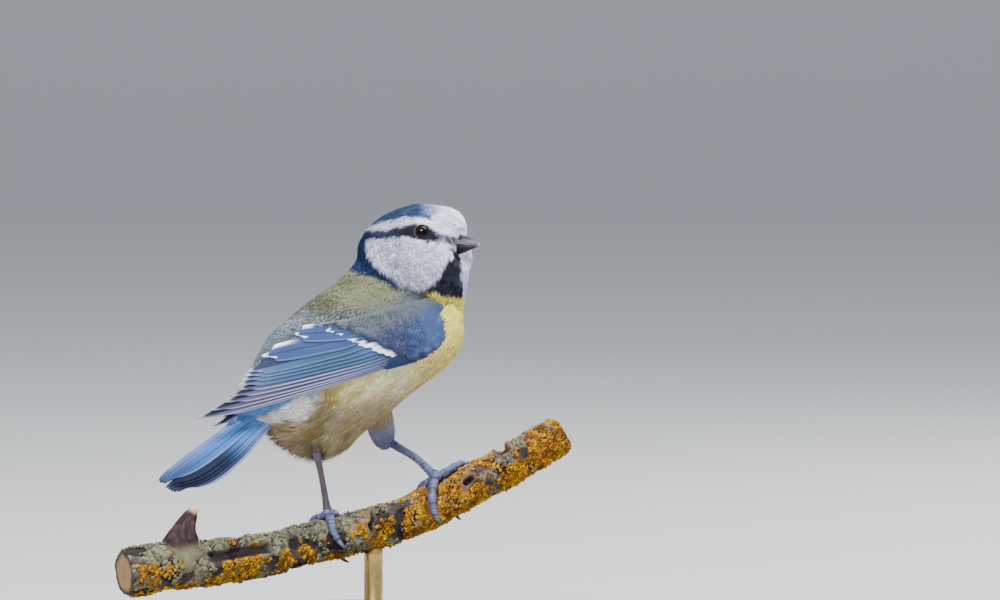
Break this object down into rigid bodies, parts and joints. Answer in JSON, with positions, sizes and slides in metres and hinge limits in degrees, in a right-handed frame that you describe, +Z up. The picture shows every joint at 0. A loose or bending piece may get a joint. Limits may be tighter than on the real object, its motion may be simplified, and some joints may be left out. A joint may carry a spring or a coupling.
{
  "type": "blue tit",
  "caption": "Life-size blue tit with turned head, folded wings and long tail, gripping a short cut branch held by a round base and rod.",
  "frame": {"origin": "middle of the display base's underside", "axes": "+Z up, +X to the right of the pictured view, +Y away from the viewer; the bird's body heads along +X turned 23 degrees toward +Y"},
  "size_m": [0.1157, 0.076, 0.113],
  "materials": {
    "plumage_head": "soft short feathers, white, dark blue and pale blue",
    "plumage_body": "soft loose feathers, grey green above and pale yellow below",
    "wing_feather": "smooth blue grey flight feathers with pale edges",
    "tail_feather": "smooth blue tail feathers with pale edges",
    "eye": "glossy near black",
    "bill": "satin horn, dark with paler cutting edges",
    "claw": "satin horn",
    "leg_skin": "scaled blue grey skin",
    "bark": "rough bark crusted with yellow and grey green lichen",
    "base_wood": "satin dark stained wood",
    "rod_metal": "satin"
  },
  "bodies": {
    "root": {"bill_lower": "bill", "bill_upper": "bill", "claw_left_1": "claw", "claw_left_2": "claw", "claw_left_3": "claw", "claw_left_4": "claw", "claw_right_1": "claw", "claw_right_2": "claw", "claw_right_3": "claw", "claw_right_4": "claw", "eye_left": "eye", "eye_right": "eye", "foot_left": "leg_skin", "foot_right": "leg_skin", "head": "plumage_head", "neck": "plumage_head", "perch_branch": "bark", "stand_base": "base_wood", "stand_rod": "rod_metal", "tail": "tail_feather", "tarsus_left": "leg_skin", "tarsus_right": "leg_skin", "thigh_left": "plumage_body", "thigh_right": "plumage_body", "torso": "plumage_body", "wing_left": "wing_feather", "wing_right": "wing_feather"}
  },
  "joints": []
}
